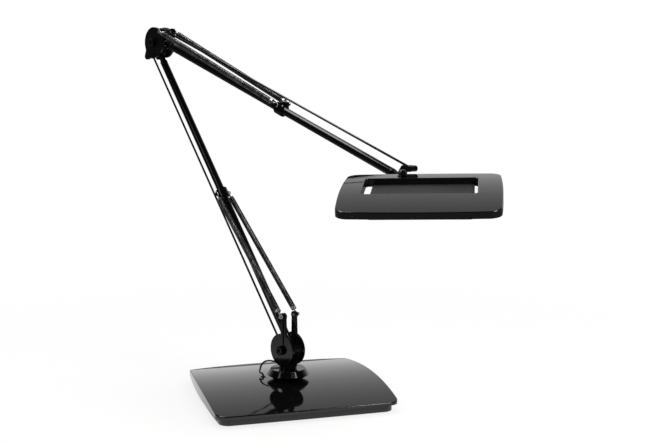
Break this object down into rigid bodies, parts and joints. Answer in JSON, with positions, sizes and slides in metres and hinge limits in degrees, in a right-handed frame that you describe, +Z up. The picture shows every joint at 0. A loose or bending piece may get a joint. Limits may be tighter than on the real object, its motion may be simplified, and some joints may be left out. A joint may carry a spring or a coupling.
{
  "type": "desk lamp",
  "caption": "Two-arm spring-balanced desk lamp with guide rods, a swivelling weighted base and a wide frame-shaped head with a window.",
  "frame": {"origin": "centre of the swivel axis on the base's flat underside", "axes": "+Z up along the swivel axis, +X along the base's width to its right, +Y to the base's back"},
  "size_m": [0.3498, 0.6628, 0.5194],
  "materials": {
    "black_cover": "high-gloss moulded black",
    "black_tray": "fine-grained black",
    "black_housing": "matt black",
    "black_enamel": "gloss black enamel",
    "blackened_steel": "black oxide, slightly glossy",
    "zinc_steel": "bright zinc plate",
    "spring_steel": "drawn spring wire",
    "cast_iron": "raw cast ballast",
    "soft_pad": "non-slip rubber sheet",
    "rubber_trim": "moulded rubber",
    "bush_plastic": "natural acetal",
    "lens": "frosted",
    "board": "white solder resist",
    "lead": "black flexible sheath"
  },
  "bodies": {
    "base": {"base_cover": "black_cover", "base_plinth": "black_tray", "base_pad": "soft_pad", "base_weight": "cast_iron", "base_screws": "zinc_steel", "mains_gland": "rubber_trim", "swivel_collar": "black_enamel", "swivel_bush": "bush_plastic", "lead_grommet": "rubber_trim"},
    "hub": {"swivel_spindle": "zinc_steel", "spindle_nut": "zinc_steel", "hub_front_plate": "black_enamel", "hub_rear_plate": "black_enamel", "hub_core": "black_enamel", "hub_tube_pin": "zinc_steel", "hub_rod_pin": "zinc_steel", "hub_clamp_screw": "blackened_steel", "hub_clamp_nut": "blackened_steel", "hub_spring_studs": "zinc_steel", "lead_gland": "rubber_trim", "hub_lead": "lead"},
    "lower_arm": {"lower_tube": "black_enamel", "lower_tube_foot": "blackened_steel", "lower_tube_head": "blackened_steel", "lower_bracket": "black_enamel"},
    "lower_guide": {"lower_rod": "black_enamel"},
    "lower_spring_link": {"lower_spring_hooks": "zinc_steel", "lower_spring_front": "spring_steel", "lower_spring_rear": "spring_steel"},
    "lower_spring_end": {"lower_spring_end_hooks": "zinc_steel"},
    "elbow": {"elbow_front_plate": "black_enamel", "elbow_rear_plate": "black_enamel", "elbow_core": "black_enamel", "elbow_tube_pin": "zinc_steel", "elbow_rod_pin": "zinc_steel", "elbow_pivot_screw": "blackened_steel", "elbow_pivot_nut": "blackened_steel", "elbow_spring_pin": "zinc_steel"},
    "upper_arm": {"upper_tube": "black_enamel", "upper_tube_foot": "blackened_steel", "upper_tube_head": "blackened_steel", "upper_bracket": "black_enamel"},
    "upper_guide": {"upper_rod": "black_enamel"},
    "upper_spring_link": {"upper_spring_hooks": "zinc_steel", "upper_spring_front": "spring_steel", "upper_spring_rear": "spring_steel"},
    "upper_spring_end": {"upper_spring_end_hooks": "zinc_steel"},
    "head_link": {"head_link": "black_enamel", "head_tube_pin": "zinc_steel", "head_rod_pin": "zinc_steel"},
    "head_swivel": {"head_knuckle": "blackened_steel", "knuckle_clip": "zinc_steel"},
    "head": {"head_shell": "black_cover", "lamp_housing": "black_housing", "tilt_lugs": "black_enamel", "tilt_pin": "zinc_steel", "light_board": "board", "lamp_lens": "lens", "button_bezel": "blackened_steel"},
    "button": {"power_button": "black_cover"}
  },
  "joints": [
    {"name": "base_swivel", "type": "hinge", "parent": "base", "child": "hub", "pos_m": [0, 0, 0], "axis": [0, 0, 1], "range_deg": [-115, 115]},
    {"name": "lower_tilt", "type": "hinge", "parent": "hub", "child": "lower_arm", "pos_m": [0.00427, -0.00838, 0.07], "axis": [0.891, 0.454, 0], "range_deg": [-13.55, 41.45]},
    {"name": "lower_guide_turn", "type": "hinge", "parent": "hub", "child": "lower_guide", "pos_m": [-0.00427, 0.00838, 0.0664], "axis": [0.891, 0.454, 0], "range_deg": [-14.05, 41.95]},
    {"name": "elbow_level", "type": "hinge", "parent": "lower_arm", "child": "elbow", "pos_m": [-0.13302, 0.26107, 0.47943], "axis": [0.891, 0.454, 0], "range_deg": [-41.95, 14.05]},
    {"name": "lower_spring_swing", "type": "hinge", "parent": "hub", "child": "lower_spring_link", "pos_m": [0.00132, -0.00258, 0.1162], "axis": [0.891, 0.454, 0], "range_deg": [-16.86, 50.53]},
    {"name": "lower_spring_stretch", "type": "slide", "parent": "lower_spring_link", "child": "lower_spring_end", "axis": [-0.306, 0.6006, 0.7387], "range_m": [-0.00978, 0.00353], "deforming": ["lower_spring_front", "lower_spring_rear", "lower_spring_end_hooks"]},
    {"name": "upper_tilt", "type": "hinge", "parent": "elbow", "child": "upper_arm", "pos_m": [-0.13302, 0.26107, 0.49643], "axis": [0.891, 0.454, 0], "range_deg": [-24.59, 10.41]},
    {"name": "upper_guide_turn", "type": "hinge", "parent": "elbow", "child": "upper_guide", "pos_m": [-0.12417, 0.2437, 0.51193], "axis": [0.891, 0.454, 0], "range_deg": [-25.09, 10.91]},
    {"name": "head_level", "type": "hinge", "parent": "upper_arm", "child": "head_link", "pos_m": [0.09533, -0.1871, 0.31742], "axis": [0.891, 0.454, 0], "range_deg": [-10.91, 25.09]},
    {"name": "upper_spring_swing", "type": "hinge", "parent": "elbow", "child": "upper_spring_link", "pos_m": [-0.12417, 0.2437, 0.51193], "axis": [0.891, 0.454, 0], "range_deg": [-26.44, 11.48]},
    {"name": "upper_spring_stretch", "type": "slide", "parent": "upper_spring_link", "child": "upper_spring_end", "axis": [0.4219, -0.828, -0.3692], "range_m": [-0.00878, 0.00401], "deforming": ["upper_spring_front", "upper_spring_rear", "upper_spring_end_hooks"]},
    {"name": "head_turn", "type": "hinge", "parent": "head_link", "child": "head_swivel", "pos_m": [0.11293, -0.22165, 0.30642], "axis": [0, 0, 1], "range_deg": [0, 100]},
    {"name": "head_tilt", "type": "hinge", "parent": "head_swivel", "child": "head", "pos_m": [0.11293, -0.22165, 0.30642], "axis": [0.9085, -0.4173, 0.0222], "range_deg": [-12, 40]},
    {"name": "button_press", "type": "slide", "parent": "head", "child": "button", "axis": [0.0703, 0.1003, -0.9925], "range_m": [0, 0.0015], "stiffness_N_per_m": 400, "springref_m": -0.001}
  ],
  "couplings": [
    {"joint": "lower_guide_turn", "follows": "lower_tilt", "ratio": 1},
    {"joint": "elbow_level", "follows": "lower_tilt", "ratio": -1},
    {"joint": "lower_spring_swing", "follows": "lower_tilt", "ratio": 1.207},
    {"joint": "lower_spring_stretch", "follows": "lower_tilt", "m_per_rad": -0.01283},
    {"joint": "upper_guide_turn", "follows": "upper_tilt", "ratio": 1},
    {"joint": "head_level", "follows": "upper_tilt", "ratio": -1},
    {"joint": "upper_spring_swing", "follows": "upper_tilt", "ratio": 1.0548},
    {"joint": "upper_spring_stretch", "follows": "upper_tilt", "m_per_rad": 0.0193}
  ]
}
